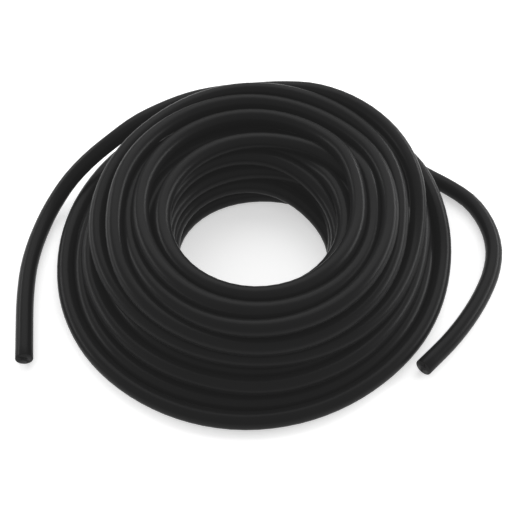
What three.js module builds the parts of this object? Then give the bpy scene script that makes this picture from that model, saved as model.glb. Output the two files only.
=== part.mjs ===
// A loosely coiled fuel hose with two free cut ends.
// Millimetres, +Z up, +Y away from the viewer, the coil lying flat on the ground at Z = 0.
import * as THREE from 'three';

// The hose
const HOSE_DIAMETER = 7;
const BORE_DIAMETER = 3.2;
const HOSE_RADIUS = HOSE_DIAMETER / 2;
const GROUND_CLEARANCE = 0.2; // a free end's underside above the ground

// The coil: centre radii and heights of the turns that show, at its front and at its back
const EYE_RADIUS = 35; // centre radius of the innermost turn on the ground
const GROUND_TURNS = 7;
const OUTER_RADIUS_FRONT = 79; // centre radius of the outermost turn on the ground
const OUTER_RADIUS_BACK = 86;
const TOP_HEIGHT = 31.5; // centre height of the top layer
const FRONT_HEAP = [
  [68.5, 9.6], [60, 15.6], [57.6, 21.6], [56, 27.6],
  [49.5, TOP_HEIGHT], [48, TOP_HEIGHT], [43, TOP_HEIGHT], [41.5, TOP_HEIGHT],
  [38.3, 25.2], [36, 17.6], [34.7, 10.4],
];
const BACK_HEAP = [
  [82, 10.3], [81, 17.2], [79, 24.4], [74, TOP_HEIGHT],
  [64.4, TOP_HEIGHT], [56.4, TOP_HEIGHT], [48, TOP_HEIGHT], [39.3, TOP_HEIGHT],
  [37.5, 25], [36, 17.6], [34.7, 10.4],
];
const GROUND_LEAN_PLACE = 90; // degrees round the axis, from the right, where the ground turns reach furthest
const HEAP_LEAN_PLACE = 70; // and where the heap over them does
const LEAN_POWER = 2; // how late the heap rises on its way from the front to the back
const FRONT_PLACE = 270; // where a lathe starts its turn
const COIL_SEGMENTS = 40;
const GROUND_FLAT = 3.6; // width of the flat that a turn on the ground rests on
const GROOVE_RISE = 1.75; // least height of a groove's bottom over the turns' centre line
const CREST_POINTS = 3; // corners on each turn between two grooves

// The free ends, as points along the hose's centre from the coil to the cut: degrees round the axis,
// distance out from the centre of the outermost ground turn there, and height
const RESTING_HEIGHT = HOSE_RADIUS + GROUND_CLEARANCE;
const LEFT_END_ROUTE = [
  [121, -6.2, 24], [130.5, -5.2, 23.2], [140.4, -2.6, 20], [147.3, 2.1, 15],
  [154.4, 6.6, 9.6], [161.6, 9.3, 5.6],
  [171.9, 11.2, RESTING_HEIGHT], [183.1, 13.2, RESTING_HEIGHT], [193.3, 15.5, RESTING_HEIGHT],
  [202.6, 19, RESTING_HEIGHT], [210.2, 23.8, RESTING_HEIGHT],
];
const RIGHT_END_ROUTE = [
  [29.6, 8.4, RESTING_HEIGHT], [24.9, 12.4, RESTING_HEIGHT], [17.5, 18.3, RESTING_HEIGHT],
  [9.6, 21, RESTING_HEIGHT], [2.2, 21.2, RESTING_HEIGHT], [354.8, 19, RESTING_HEIGHT],
  [348, 16, RESTING_HEIGHT], [340.5, 12.9, RESTING_HEIGHT], [332, 10, RESTING_HEIGHT],
  [319.7, 7.3, RESTING_HEIGHT],
];
const TUBE_SIDES = 12;
const TUBE_STEP = 12; // length of one straight facet of a free end

function hoseRubber() {
  return new THREE.MeshStandardMaterial({ color: 0x1b1c1d, roughness: 0.55, metalness: 0 });
}

// From 0 at the low side of the coil to 1 where it leans furthest out.
function leanShare(place, leanPlace) {
  return ((1 + Math.cos(THREE.MathUtils.degToRad(place - leanPlace))) / 2) ** LEAN_POWER;
}

// Centre radius of the outermost turn on the ground.
function outermostRadius(place) {
  const share = leanShare(place, GROUND_LEAN_PLACE);
  return THREE.MathUtils.lerp(OUTER_RADIUS_FRONT, OUTER_RADIUS_BACK, share);
}

// Centres of the turns round the coil's section at one place.
function turnCentres(place) {
  const groundOuter = outermostRadius(place);
  const share = leanShare(place, HEAP_LEAN_PLACE);
  const centres = [];
  for (let turn = 0; turn < GROUND_TURNS; turn++) {
    const out = turn / (GROUND_TURNS - 1);
    centres.push(new THREE.Vector2(THREE.MathUtils.lerp(EYE_RADIUS, groundOuter, out), HOSE_RADIUS));
  }
  FRONT_HEAP.forEach((front, index) => {
    const centre = new THREE.Vector2(...front);
    centres.push(centre.lerp(new THREE.Vector2(...BACK_HEAP[index]), share));
  });
  return centres;
}

// The bottom of the groove between two neighbouring turns.
function grooveBetween(from, to) {
  const along = to.clone().sub(from);
  const half = along.length() / 2;
  const touching = Math.sqrt(Math.max(HOSE_RADIUS ** 2 - half ** 2, 0));
  const outwards = new THREE.Vector2(along.y, -along.x).normalize();
  return from.clone().lerp(to, 0.5).addScaledVector(outwards, Math.max(touching, GROOVE_RISE));
}

// One turn's outer side, swept from the groove before it to the groove after it.
function crestOf(centre, before, after) {
  const start = before.clone().sub(centre).angle();
  const sweep = (after.clone().sub(centre).angle() - start + 2 * Math.PI) % (2 * Math.PI);
  const crest = [];
  for (let step = 1; step <= CREST_POINTS; step++) {
    const angle = start + (sweep * step) / (CREST_POINTS + 1);
    const corner = new THREE.Vector2(Math.cos(angle), Math.sin(angle));
    crest.push(corner.multiplyScalar(HOSE_RADIUS).add(centre));
  }
  return crest;
}

// The coil's closed section at one place round it.
function coilSection(place) {
  const centres = turnCentres(place);
  const last = centres.length - 1;
  const grooves = centres.map((centre, index) => {
    const following = centres[index === last ? 0 : index + 1];
    return grooveBetween(centre, following);
  });
  const section = [];
  centres.forEach((centre, index) => {
    const flatStart = new THREE.Vector2(centre.x - GROUND_FLAT / 2, 0);
    const flatEnd = new THREE.Vector2(centre.x + GROUND_FLAT / 2, 0);
    if (index === 0) {
      section.push(...crestOf(centre, grooves[last], flatStart));
    }
    if (index < GROUND_TURNS) {
      section.push(flatStart, flatEnd);
    }
    if (index === GROUND_TURNS - 1) {
      section.push(...crestOf(centre, flatEnd, grooves[index]));
    }
    if (index >= GROUND_TURNS) {
      section.push(...crestOf(centre, grooves[index - 1], grooves[index]));
    }
    section.push(grooves[index]);
  });
  section.push(section[0].clone());
  return section;
}

// A turned ring whose heap leans from the low front to the high back.
function coil() {
  const geometry = new THREE.LatheGeometry(coilSection(FRONT_PLACE), COIL_SEGMENTS);
  const position = geometry.attributes.position;
  for (let segment = 0; segment <= COIL_SEGMENTS; segment++) {
    const around = (2 * Math.PI * (segment % COIL_SEGMENTS)) / COIL_SEGMENTS;
    const section = coilSection(FRONT_PLACE + THREE.MathUtils.radToDeg(around));
    section.forEach((point, index) => {
      const vertex = segment * section.length + index;
      position.setXYZ(vertex, point.x * Math.sin(around), point.y, point.x * Math.cos(around));
    });
  }
  geometry.computeVertexNormals();
  const mesh = new THREE.Mesh(geometry, hoseRubber());
  mesh.name = 'hose_coil';
  mesh.rotation.x = Math.PI / 2;
  return mesh;
}

// A length of hose with its bore, along a route of points.
function freeEnd(name, route) {
  const points = route.map(([place, out, height]) => {
    const radius = outermostRadius(place) + out;
    const angle = THREE.MathUtils.degToRad(place);
    return new THREE.Vector3(radius * Math.cos(angle), radius * Math.sin(angle), height);
  });
  const curve = new THREE.CatmullRomCurve3(points, false, 'centripetal');
  const corner = (radius, index) => {
    const angle = ((index + 0.5) * 2 * Math.PI) / TUBE_SIDES;
    return new THREE.Vector2(radius * Math.cos(angle), radius * Math.sin(angle));
  };
  const indices = [...Array(TUBE_SIDES).keys()];
  const section = new THREE.Shape(indices.map((index) => corner(HOSE_RADIUS, index)));
  section.holes.push(new THREE.Path(indices.map((index) => corner(BORE_DIAMETER / 2, index))));
  const steps = Math.round(curve.getLength() / TUBE_STEP);
  const geometry = new THREE.ExtrudeGeometry(section, { steps, extrudePath: curve });
  const mesh = new THREE.Mesh(geometry, hoseRubber());
  mesh.name = name;
  return mesh;
}

const hose = new THREE.Group();
hose.add(coil());
hose.add(freeEnd('hose_end_left', LEFT_END_ROUTE));
hose.add(freeEnd('hose_end_right', RIGHT_END_ROUTE));

// The origin goes to the middle of the whole object's underside.
const bounds = new THREE.Box3().setFromObject(hose, true);
const centre = bounds.getCenter(new THREE.Vector3());
hose.position.set(-centre.x, -centre.y, 0);

export default hose;
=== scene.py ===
# %% [markdown]
# A fuel hose is one long rubber tube, and a loose coil of it is the same tube laid round and round by hand.
# The model follows it the same way: one line for the hose's centre, worked out turn by turn, then one skin
# laid along that line. All sizes are real ones and in the frame of the measured model. Blender counts in
# metres, but a coil is easier to think of in millimetres, so the line is worked out in those.

# %% The measured model
import math

import bmesh
import bpy
import numpy as np
from mathutils import Matrix, Vector


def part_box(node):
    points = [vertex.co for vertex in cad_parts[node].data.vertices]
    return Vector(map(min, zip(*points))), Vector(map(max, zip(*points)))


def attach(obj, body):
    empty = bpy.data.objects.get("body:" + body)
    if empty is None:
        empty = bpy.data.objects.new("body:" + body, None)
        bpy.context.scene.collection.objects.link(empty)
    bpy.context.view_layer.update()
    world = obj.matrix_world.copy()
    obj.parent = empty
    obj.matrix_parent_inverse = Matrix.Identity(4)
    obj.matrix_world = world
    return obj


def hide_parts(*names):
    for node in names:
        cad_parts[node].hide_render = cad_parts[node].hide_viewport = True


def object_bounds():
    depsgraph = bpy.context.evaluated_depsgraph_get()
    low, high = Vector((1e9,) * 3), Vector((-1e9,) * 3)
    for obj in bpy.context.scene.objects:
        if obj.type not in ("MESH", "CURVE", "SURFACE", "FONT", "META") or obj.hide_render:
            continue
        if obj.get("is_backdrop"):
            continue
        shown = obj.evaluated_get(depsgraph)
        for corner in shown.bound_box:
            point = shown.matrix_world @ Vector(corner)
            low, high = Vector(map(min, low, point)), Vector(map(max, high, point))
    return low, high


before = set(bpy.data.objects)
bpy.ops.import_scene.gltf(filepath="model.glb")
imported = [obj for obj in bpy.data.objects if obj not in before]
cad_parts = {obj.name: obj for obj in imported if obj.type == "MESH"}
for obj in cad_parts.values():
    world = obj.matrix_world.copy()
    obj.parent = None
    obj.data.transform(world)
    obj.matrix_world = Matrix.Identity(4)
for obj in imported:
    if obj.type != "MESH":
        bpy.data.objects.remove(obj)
measured_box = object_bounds()

MM = 0.001
HOSE_DIAMETER = 7 * MM
BORE_DIAMETER = 3.2 * MM
HOSE_RADIUS = HOSE_DIAMETER / 2
FRONT_TURN_RADIUS = 79 * MM  # centre of the outermost turn at the front, as the measured coil has it

coil_low, coil_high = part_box("hose_coil")
COIL_AXIS = Vector(((coil_low.x + coil_high.x) / 2, coil_low.y + FRONT_TURN_RADIUS + HOSE_RADIUS, 0))
print("coil axis stands at", [round(v, 4) for v in COIL_AXIS])

# %% [markdown]
# The photograph looks down on the coil at about 50 degrees from less than half a metre off, near enough that
# the front turns look wider than the back ones. Distance alone decides that. The lens then only makes the
# coil fill as much of the picture as it does in the photograph.

# %% Camera
CAMERA_ELEVATION = math.radians(51)
CAMERA_DISTANCE = 435 * MM
CAMERA_LENS = 72.5
FILM_SIDE = 36
AIM_OFFSET = 1.2 * MM  # the photograph's middle lies a little right of the coil's axis


def place_camera():
    """The camera of the photograph, aimed at the coil's middle."""
    data = bpy.data.cameras.new("photo_camera")
    data.lens = CAMERA_LENS
    data.sensor_width = FILM_SIDE
    camera = bpy.data.objects.new("photo_camera", data)
    aim = COIL_AXIS + Vector((AIM_OFFSET, 0, HOSE_RADIUS))
    back_off = Vector((0, -math.cos(CAMERA_ELEVATION), math.sin(CAMERA_ELEVATION)))
    camera.location = aim + CAMERA_DISTANCE * back_off
    camera.rotation_euler = (math.pi / 2 - CAMERA_ELEVATION, 0, 0)
    bpy.context.scene.collection.objects.link(camera)
    bpy.context.scene.camera = camera
    return camera


camera = place_camera()
print("camera stands at", [round(v, 3) for v in camera.location])

# %% [markdown]
# A hose coiled by hand never makes true circles. Each turn drops into the groove between the turns below it,
# climbs over its neighbours somewhere, and leans to the side it was pulled from. So a turn is given by a few
# seats: compass places round the axis with a radius and a height. The turns that show have seats read from
# the photograph. The buried ones are filled in by rows, because nobody can see them one by one.

# %% Seats of the turns: degrees round the coil's axis, radius and height in millimetres
BACK, LEFT, FRONT, RIGHT = 90, 180, 270, 360

# The outermost turn lies on the ground and ends by riding over the right free end.
OUTERMOST = [
    (BACK, 86, 3.5), (128, 85.6, 3.5), (150, 82, 3.5), (LEFT, 78.8, 3.5), (225, 79.3, 3.5), (FRONT, 79, 3.5),
    (292, 77, 3.5), (318, 74.7, 3.5), (342, 76.1, 3.7), (RIGHT + 4, 79.6, 5.6), (RIGHT + 17, 82, 9.4),
    (RIGHT + 34, 85.6, 10.6), (RIGHT + 60, 85, 10.8),
]
SECOND = [
    (BACK, 81, 10.4), (LEFT, 71.9, 3.5), (225, 72.4, 3.5), (FRONT, 72, 3.5), (RIGHT, 74, 3.5),
    (RIGHT + 18, 78.5, 3.5), (RIGHT + 45, 78.8, 3.5),
]
# The last five turns spiral outwards over the top of the heap.
TOP_TURNS = [
    [(BACK, 40.1, 31.5), (LEFT, 36.4, 31.5), (FRONT, 41.8, 31.5), (RIGHT, 42.6, 31.5)],
    [(BACK, 55, 31.5), (LEFT, 46.1, 31.5), (FRONT, 48.9, 31.5), (RIGHT, 48.2, 27.5)],
    [(BACK, 59, 26), (LEFT, 50, 24.8), (FRONT, 55.6, 29.4), (RIGHT, 54.5, 31), (RIGHT + 45, 60, 30.5)],
    [(BACK, 64.6, 31.5), (LEFT, 54, 30.3), (FRONT, 59.6, 23.7), (RIGHT, 59.2, 24.5), (RIGHT + 35, 67, 28.5),
     (RIGHT + 60, 70, 31)],
    [(BACK, 72.2, 31.5), (135, 67, 29), (LEFT, 63.4, 24), (FRONT, 60.6, 16.8), (RIGHT, 67.2, 17),
     (RIGHT + 25, 73.8, 26), (RIGHT + 42, 76.6, 29.5), (RIGHT + 66, 77.6, 31)],
]
LEAVING = [(BACK, 79, 25.5), (112, 79.2, 24.4)]  # where the left free end comes out from behind the heap


def row_of_turns(count, back, left, front, right, height):
    """Seats of a buried row, each side given as its first and its last turn."""
    sides = [(BACK, back), (LEFT, left), (FRONT, front), (RIGHT, right)]
    radii = {place: np.linspace(*ends, count) for place, ends in sides}
    heights = np.linspace(*height, count)
    return [[(place, radii[place][turn], heights[turn]) for place, _ in sides] for turn in range(count)]


GROUND_ROW = row_of_turns(5, (78.5, 35), (63.6, 34.8), (64.4, 35), (66.5, 35), (3.5, 3.5))
GROUND_ROW[0] += [(RIGHT + 18, 71.5, 3.5)]
SECOND_ROW = row_of_turns(6, (34.6, 74), (34.7, 67.4), (34.7, 67.8), (34.7, 70), (10.2, 10))
SECOND_ROW[-2] += [(RIGHT + 18, 67.8, 10)]
SECOND_ROW[-1] += [(RIGHT + 15, 74.4, 10), (RIGHT + 32, 78, 13.5), (RIGHT + 50, 79.5, 17)]
THIRD_ROW = row_of_turns(3, (80.5, 36), (52, 36), (50, 36), (50.5, 36), (17.2, 17.5))
THIRD_ROW[0] += [(RIGHT + 45, 65, 17.2)]
THIRD_ROW[1][0] = (BACK, 67, 17.2)
FOURTH_ROW = row_of_turns(3, (37.5, 52), (37.6, 50), (38, 51), (38, 51.5), (24.9, 23))

all_turns = [OUTERMOST, SECOND, *GROUND_ROW, *SECOND_ROW, *THIRD_ROW, *FOURTH_ROW, *TOP_TURNS, LEAVING]
seats = np.array([
    (place + 360 * number, radius, height)
    for number, turn in enumerate(all_turns)
    for place, radius, height in turn
])
print(len(all_turns) - 1, "turns held by", len(seats), "seats")

# %% [markdown]
# The two free ends don't follow the coil, so each has a short route of its own, point by point. The right one
# lies on the ground from end to end, and the left one comes down to it from the heap. The points are those of
# the measured model, and they are counted outwards from the coil, which leans to the back.

# %% Routes of the free ends: degrees round the axis, distance out from the outermost turn, and height
RESTING_HEIGHT = 3.7
OUTER_RADIUS_FRONT = FRONT_TURN_RADIUS / MM
OUTER_RADIUS_BACK = 86
LEAN_POWER = 2  # how late the outermost turn swings out on its way from the front to the back
LEFT_END_ROUTE = [
    (121, -6.2, 24), (130.5, -5.2, 23.2), (140.4, -2.6, 20), (147.3, 2.1, 15),
    (154.4, 6.6, 9.6), (161.6, 9.3, 5.6),
    (171.9, 11.2, RESTING_HEIGHT), (183.1, 13.2, RESTING_HEIGHT), (193.3, 15.5, RESTING_HEIGHT),
    (202.6, 19, RESTING_HEIGHT), (210.2, 23.8, RESTING_HEIGHT),
]
RIGHT_END_ROUTE = [
    (29.6, 8.4, RESTING_HEIGHT), (24.9, 12.4, RESTING_HEIGHT), (17.5, 18.3, RESTING_HEIGHT),
    (9.6, 21, RESTING_HEIGHT), (2.2, 21.2, RESTING_HEIGHT), (354.8, 19, RESTING_HEIGHT),
    (348, 16, RESTING_HEIGHT), (340.5, 12.9, RESTING_HEIGHT), (332, 10, RESTING_HEIGHT),
    (319.7, 7.3, RESTING_HEIGHT),
]


def free_end_points(route):
    """A free end's points from the coil's axis, in x, y and height."""
    points = []
    for place, out, height in route:
        angle = math.radians(place)
        share = ((1 + math.sin(angle)) / 2) ** LEAN_POWER
        radius = OUTER_RADIUS_FRONT + (OUTER_RADIUS_BACK - OUTER_RADIUS_FRONT) * share + out
        points.append((radius * math.cos(angle), radius * math.sin(angle), height))
    return points


left_end = free_end_points(LEFT_END_ROUTE)
right_end = free_end_points(RIGHT_END_ROUTE)
print("free ends have", len(left_end), "and", len(right_end), "points")

# %% [markdown]
# Between two seats the hose goes over smoothly in radius and in height while it turns round the axis. Points
# are read off every few degrees and joined to the free ends': right free end, coil, left free end. The whole
# is smoothed once more as one line, and then cut into equal steps, one for each ring of the skin.

# %% The hose's centre line
JOINING_POINT = (50, 69.5, 3.6)  # from the coil's axis, where the right free end has come in beside the coil
DEGREES_BETWEEN_POINTS = 10.0
FINE_STEP = 1.0
RING_STEP = 5.0  # length of hose between two rings of the skin


def smooth_between(knots, values, wanted):
    """A smooth curve through values at uneven knots, read at the wanted places."""
    slopes = np.gradient(values, knots)
    piece = np.clip(np.searchsorted(knots, wanted, side="right") - 1, 0, len(knots) - 2)
    width = knots[piece + 1] - knots[piece]
    t = (wanted - knots[piece]) / width
    start = (2 * t**3 - 3 * t**2 + 1) * values[piece] + (t**3 - 2 * t**2 + t) * width * slopes[piece]
    end = (3 * t**2 - 2 * t**3) * values[piece + 1] + (t**3 - t**2) * width * slopes[piece + 1]
    return start + end


def evenly_spaced(points, step):
    """The same line with its points a step apart."""
    along = np.r_[0, np.cumsum(np.linalg.norm(np.diff(points, axis=0), axis=1))]
    wanted = np.linspace(0, along[-1], round(along[-1] / step) + 1)
    return np.stack([np.interp(wanted, along, points[:, axis]) for axis in range(3)], axis=1)


def coil_line():
    """The wound part of the hose, from its first seat to its last."""
    turned = np.arange(seats[0, 0], seats[-1, 0], DEGREES_BETWEEN_POINTS)
    radius = smooth_between(seats[:, 0], seats[:, 1], turned)
    height = smooth_between(seats[:, 0], seats[:, 2], turned)
    angle = np.radians(turned)
    return np.stack([radius * np.cos(angle), radius * np.sin(angle), height], axis=1)


def whole_line():
    """Right free end, coil and left free end in one smooth line."""
    knots = np.vstack([right_end[::-1], [JOINING_POINT], coil_line(), left_end])
    along = np.r_[0, np.cumsum(np.linalg.norm(np.diff(knots, axis=0), axis=1))]
    fine = np.arange(0, along[-1], FINE_STEP)
    line = np.stack([smooth_between(along, knots[:, axis], fine) for axis in range(3)], axis=1)
    return evenly_spaced(np.vstack([line, knots[-1]]), RING_STEP)


centre_line = whole_line()
print("centre line has", len(centre_line), "points")

# %% [markdown]
# Two turns can't share the same space. A physics simulation could sort that out, but it would also move the
# turns that the photograph shows. So a few hundred small steps let the hose settle where it is: wherever two
# stretches come nearer than one hose diameter, both are pushed apart, nothing sinks through the ground, and
# each stretch is drawn gently back to the seat that it was given. Rubber hose is stiff, so a point that moves
# takes the points beside it along.

# %% Settling the turns
SETTLING_STEPS = 300
STEPS_PER_SEARCH = 10  # after so many steps the neighbours are looked up again
TOUCHING = HOSE_DIAMETER / MM
REACH = 10.0  # stretches further apart than this aren't looked at
NEIGHBOURS = 6  # points along the same stretch, which always lie close
PUSH = 0.35
PULL_BACK = 0.02


def close_pairs(points):
    """Index pairs of points on different stretches that lie within reach."""
    cells = {}
    for index, cell in enumerate(map(tuple, np.floor(points / REACH).astype(int))):
        cells.setdefault(cell, []).append(index)
    first, second = [], []
    for (x, y, z), here in cells.items():
        around = [(x + i, y + j, z + k) for i in (-1, 0, 1) for j in (-1, 0, 1) for k in (-1, 0, 1)]
        near = np.concatenate([cells[cell] for cell in around if cell in cells])
        a, b = np.meshgrid(here, near, indexing="ij")
        apart = b - a > NEIGHBOURS
        first.append(a[apart])
        second.append(b[apart])
    first, second = np.concatenate(first), np.concatenate(second)
    near = np.linalg.norm(points[first] - points[second], axis=1) < REACH
    return first[near], second[near]


def settle(seated):
    """The line with its stretches pushed a hose diameter apart."""
    points = seated.copy()
    for step in range(SETTLING_STEPS):
        if step % STEPS_PER_SEARCH == 0:
            first, second = close_pairs(points)
        between = points[second] - points[first]
        distance = np.linalg.norm(between, axis=1)
        overlap = np.clip(TOUCHING - distance, 0, None)
        push = between * (PUSH * overlap / distance)[:, None]
        move = np.zeros_like(points)
        np.add.at(move, first, -push)
        np.add.at(move, second, push)
        crowd = 1 + PUSH * (np.bincount(first[overlap > 0], minlength=len(points))
                            + np.bincount(second[overlap > 0], minlength=len(points)))
        shift = (points + move / crowd[:, None] - seated) * (1 - PULL_BACK)
        shift[1:-1] = 0.5 * shift[1:-1] + 0.25 * (shift[:-2] + shift[2:])
        points = seated + shift
        points[:, 2] = np.maximum(points[:, 2], HOSE_RADIUS / MM)
    return points


centre_line = settle(centre_line)
first, second = close_pairs(centre_line)
closest = np.linalg.norm(centre_line[first] - centre_line[second], axis=1).min()
print("closest two stretches come within", round(float(closest), 2), "mm centre to centre")

route = [COIL_AXIS + Vector(point) * MM for point in centre_line]

# %% [markdown]
# The real hose is pushed straight out of a ring-shaped die and coiled afterwards, so its section is the same
# all along: a round outside and a round bore. A curve with a bevel would be quick, but it has no bore. So the
# skin is made as the hose is: two straight tubes, one inside the other, are cut into short rows, and every
# row is then carried to its own point of the centre line. Each row is turned as little as possible from the
# last, so that the surface doesn't twist.

# %% Places for the rows of the skin
def frames_along(points):
    """A frame at each point with its Z along the hose, carried on without twist."""
    tangents = [(points[min(i + 1, len(points) - 1)] - points[max(i - 1, 0)]).normalized()
                for i in range(len(points))]
    sideways = tangents[0].cross(Vector((0, 0, 1))).normalized()
    frames = []
    for point, tangent in zip(points, tangents):
        sideways = (sideways - tangent * sideways.dot(tangent)).normalized()
        turned = Matrix((sideways, tangent.cross(sideways), tangent)).transposed()
        frames.append(Matrix.Translation(point) @ turned.to_4x4())
    return frames


frames = frames_along(route)
print("frames for", len(frames), "rings of the skin")

# %% [markdown]
# A tube is a cone with two equal radii and open ends. Cutting its long edges gives all the rows in one step,
# which is far quicker than to extrude the section a thousand times. Every corner is marked with its place in
# the section and along the hose, because the rubber's drag lines need both. At each cut the outside is
# bridged to the bore, and the rims are bevelled a little, as a blade leaves them.

# %% The skin and its bore
OUTSIDE_SIDES = 24
BORE_SIDES = 12
RIM_ROUNDING = 0.25 * MM


def add_straight_tube(bm, radius, sides, rows):
    """Adds an open tube round Z, one unit long for each row, and returns the edges of its two rims."""
    corners = bmesh.ops.create_cone(
        bm, segments=sides, radius1=radius, radius2=radius, depth=rows, cap_ends=False,
    )["verts"]
    edges = list(dict.fromkeys(edge for corner in corners for edge in corner.link_edges))
    first_rim = [edge for edge in edges if all(corner.co.z < 0 for corner in edge.verts)]
    last_rim = [edge for edge in edges if all(corner.co.z > 0 for corner in edge.verts)]
    rims = set(first_rim + last_rim)
    bmesh.ops.subdivide_edges(bm, edges=[edge for edge in edges if edge not in rims], cuts=rows - 1)
    return first_rim, last_rim


def make_hose(frames):
    """The whole hose as one closed skin: outside, bore and two cut ends."""
    rows = len(frames) - 1
    bm = bmesh.new()
    marks = bm.verts.layers.float_vector.new("along_hose")
    outside = add_straight_tube(bm, HOSE_RADIUS, OUTSIDE_SIDES, rows)
    bore = add_straight_tube(bm, BORE_DIAMETER / 2, BORE_SIDES, rows)
    for corner in bm.verts:
        x, y, z = corner.co
        row = round(z + rows / 2)
        corner[marks] = (x / HOSE_RADIUS, y / HOSE_RADIUS, row * RING_STEP * MM)
        corner.co = frames[row] @ Vector((x, y, 0))
    for face in bm.faces:
        face.smooth = True
    for outer_rim, bore_rim in zip(outside, bore):
        bmesh.ops.bridge_loops(bm, edges=outer_rim + bore_rim)
    rims = [edge for rim in outside + bore for edge in rim]
    bmesh.ops.bevel(
        bm, geom=rims, offset=RIM_ROUNDING, segments=2, profile=0.5, affect="EDGES", material=-1,
    )
    bmesh.ops.recalc_face_normals(bm, faces=bm.faces[:])
    mesh = bpy.data.meshes.new("fuel_hose")
    bm.to_mesh(mesh)
    bm.free()
    hose = bpy.data.objects.new("fuel_hose", mesh)
    bpy.context.scene.collection.objects.link(hose)
    return hose


hose = make_hose(frames)
print("hose skin has", len(hose.data.polygons), "faces")

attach(hose, "root")
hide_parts("hose_coil", "hose_end_left", "hose_end_right")

# %% [markdown]
# Fuel hose is black because its rubber is filled with carbon black. It leaves the die smooth, with a soft
# oily sheen rather than a gloss, so the base is nearly black and mirrors little. Handling wears some places a
# shade lighter and duller. A cloudy noise in the hose's own coordinates gives both the colour and the
# roughness, so that a lighter place is also a duller one.

# %% Rubber: colour and sheen
RUBBER_BLACK = (0.0045, 0.0045, 0.0047, 1)
RUBBER_WORN = (0.0065, 0.0065, 0.0067, 1)
SHEEN_ROUGHNESS = (0.27, 0.37)  # where it is smoothest and where it is most worn
SHEEN_LEVEL = 0.07
CLOUDS_PER_METRE = 60

rubber = bpy.data.materials.new("extruded_rubber")
rubber.use_nodes = True
rubber_shader = rubber.node_tree.nodes["Principled BSDF"]
rubber_shader.inputs["Specular IOR Level"].default_value = SHEEN_LEVEL
link = rubber.node_tree.links.new


def add_node(kind, **values):
    """A new node in the rubber, with its inputs set by name."""
    node = rubber.node_tree.nodes.new(kind)
    for name, value in values.items():
        node.inputs[name].default_value = value
    return node


position = add_node("ShaderNodeTexCoord")
clouds = add_node("ShaderNodeTexNoise", Scale=CLOUDS_PER_METRE, Detail=4)
link(position.outputs["Object"], clouds.inputs["Vector"])

colour = add_node("ShaderNodeMix")
colour.data_type = "RGBA"
colour.inputs["A"].default_value = RUBBER_BLACK
colour.inputs["B"].default_value = RUBBER_WORN
link(clouds.outputs["Fac"], colour.inputs["Factor"])
link(colour.outputs["Result"], rubber_shader.inputs["Base Color"])

sheen = add_node("ShaderNodeMapRange")
sheen.inputs["To Min"].default_value, sheen.inputs["To Max"].default_value = SHEEN_ROUGHNESS
link(clouds.outputs["Fac"], sheen.inputs["Value"])
link(sheen.outputs["Result"], rubber_shader.inputs["Roughness"])
print("rubber goes from", RUBBER_BLACK[0], "to", RUBBER_WORN[0])

# %% [markdown]
# Two kinds of relief are too fine for the mesh. The die leaves faint drag lines along the hose, so their
# noise reads the marks made with the skin and is stretched lengthwise: many lines round the section, each of
# them centimetres long. Over them lies a fine grain, which breaks the lines of light up a little. The two
# bumps are chained, each a tenth of a millimetre high at most.

# %% Rubber: drag lines and grain
DRAG_LINES = (6.4, 6.4, 30)  # noise cells per hose radius both ways across it, and per metre along it
GRAINS_PER_METRE = 1400
RELIEF_HEIGHT = 0.1 * MM
DRAG_STRENGTH = 0.25
GRAIN_STRENGTH = 0.12

along = add_node("ShaderNodeAttribute")
along.attribute_name = "along_hose"
stretched = add_node("ShaderNodeMapping", Scale=DRAG_LINES)
link(along.outputs["Vector"], stretched.inputs["Vector"])
drag = add_node("ShaderNodeTexNoise", Scale=1, Detail=3)
link(stretched.outputs["Vector"], drag.inputs["Vector"])
drag_bump = add_node("ShaderNodeBump", Strength=DRAG_STRENGTH, Distance=RELIEF_HEIGHT)
link(drag.outputs["Fac"], drag_bump.inputs["Height"])

grain = add_node("ShaderNodeTexNoise", Scale=GRAINS_PER_METRE, Detail=2)
link(position.outputs["Object"], grain.inputs["Vector"])
grain_bump = add_node("ShaderNodeBump", Strength=GRAIN_STRENGTH, Distance=RELIEF_HEIGHT)
link(grain.outputs["Fac"], grain_bump.inputs["Height"])
link(drag_bump.outputs["Normal"], grain_bump.inputs["Normal"])
link(grain_bump.outputs["Normal"], rubber_shader.inputs["Normal"])

hose.data.materials.append(rubber)
print("rubber has", len(rubber.node_tree.nodes), "nodes and is on", hose.name)

# %% [markdown]
# The coil lies on a plain white ground that shows hardly a shadow. A large flat plane does for it, a hair
# under the hose so that the two never share a surface. It gives off a little light of its own, like a lit
# table, which keeps it white and thins the shadows.

# %% Ground
GROUND_SIZE = 20.0  # so wide that its far edge stays out of the picture from low angles too
GROUND_GAP = 0.2 * MM
GROUND_PAINT = (0.85, 0.85, 0.85, 1)
GROUND_ROUGHNESS = 0.9
GROUND_GLOW = 0.5


def make_ground():
    """A plain pale floor under the coil."""
    bm = bmesh.new()
    bmesh.ops.create_grid(bm, x_segments=1, y_segments=1, size=GROUND_SIZE / 2)
    mesh = bpy.data.meshes.new("ground")
    bm.to_mesh(mesh)
    bm.free()
    ground = bpy.data.objects.new("ground", mesh)
    ground.location.z = measured_box[0][2] - GROUND_GAP
    bpy.context.scene.collection.objects.link(ground)
    material = bpy.data.materials.new("pale_ground")
    material.use_nodes = True
    shader = material.node_tree.nodes["Principled BSDF"]
    shader.inputs["Base Color"].default_value = GROUND_PAINT
    shader.inputs["Emission Color"].default_value = (1, 1, 1, 1)
    shader.inputs["Emission Strength"].default_value = GROUND_GLOW
    shader.inputs["Roughness"].default_value = GROUND_ROUGHNESS
    mesh.materials.append(material)
    ground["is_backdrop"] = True
    return ground


ground = make_ground()
print("ground lies at", round(ground.location.z / MM, 2), "mm")

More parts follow.
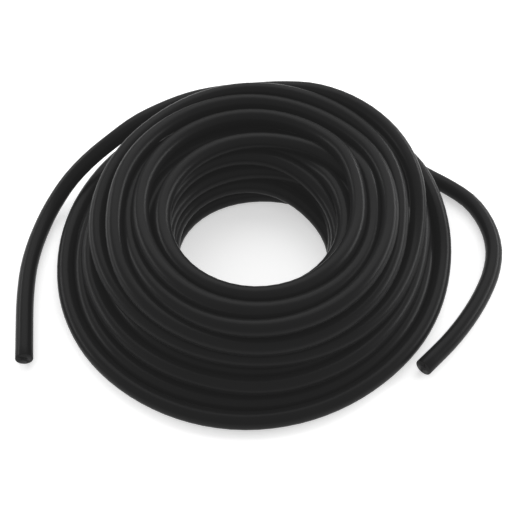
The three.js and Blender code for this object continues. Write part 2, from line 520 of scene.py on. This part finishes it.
# %% [markdown]
# On a black hose the lights are all that shows its roundness: every turn mirrors them as lines along its
# length. In the photograph the lines on the right flanks are thin and bright, those on the left are fainter,
# and a soft glow lies on top. So a long narrow softbox stands low on each side, the right one stronger, a
# broad one hangs behind the coil, and the surround is an even white.

# %% Lights
SURROUND_STRENGTH = 0.5
SOFTBOXES = {  # place from the foot of the coil's axis, width and height in metres, and power
    "right_softbox": ((0.8, 0.4, 0.36), (1.0, 0.16), 6.5),
    "left_softbox": ((-0.8, 0.25, 0.34), (0.8, 0.16), 3),
    "back_softbox": ((0, 0.8, 0.9), (1.3, 1.0), 8),
}


def add_softbox(name, place, size, power):
    """A soft rectangular light aimed at the foot of the coil's axis."""
    data = bpy.data.lights.new(name, "AREA")
    data.shape = "RECTANGLE"
    data.size, data.size_y = size
    data.energy = power
    light = bpy.data.objects.new(name, data)
    light.location = COIL_AXIS + Vector(place)
    light.rotation_euler = (COIL_AXIS - light.location).to_track_quat("-Z", "Y").to_euler()
    bpy.context.scene.collection.objects.link(light)


for name, (place, size, power) in SOFTBOXES.items():
    add_softbox(name, place, size, power)

surround = bpy.data.worlds.new("white_surround")
surround.use_nodes = True
surround_light = surround.node_tree.nodes["Background"]
surround_light.inputs["Color"].default_value = (1, 1, 1, 1)
surround_light.inputs["Strength"].default_value = SURROUND_STRENGTH
bpy.context.scene.world = surround

# %% [markdown]
# The darkest places of the photograph aren't black but a deep grey, as haze in a lens makes them. A black
# level a little under nothing lifts all the dark tones by that much and leaves white where it is.

# %% Tone of the picture
HAZE = 0.011

view = bpy.context.scene.view_settings
view.view_transform = "Standard"
view.use_curve_mapping = True
view.curve_mapping.black_level = (-HAZE, -HAZE, -HAZE)
view.curve_mapping.update()
print("darkest tone is lifted by", HAZE)

# %% [markdown]
# Looks don't change a size, so the box of the measured model and that of the finished hose are printed side
# by side.

boxes = {"cad": measured_box, "visual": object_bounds()}
boxes = {name: [list(corner) for corner in box] for name, box in boxes.items()}
for name, box in boxes.items():
    print(name, "box in mm:", [[round(value / MM, 1) for value in corner] for corner in box])
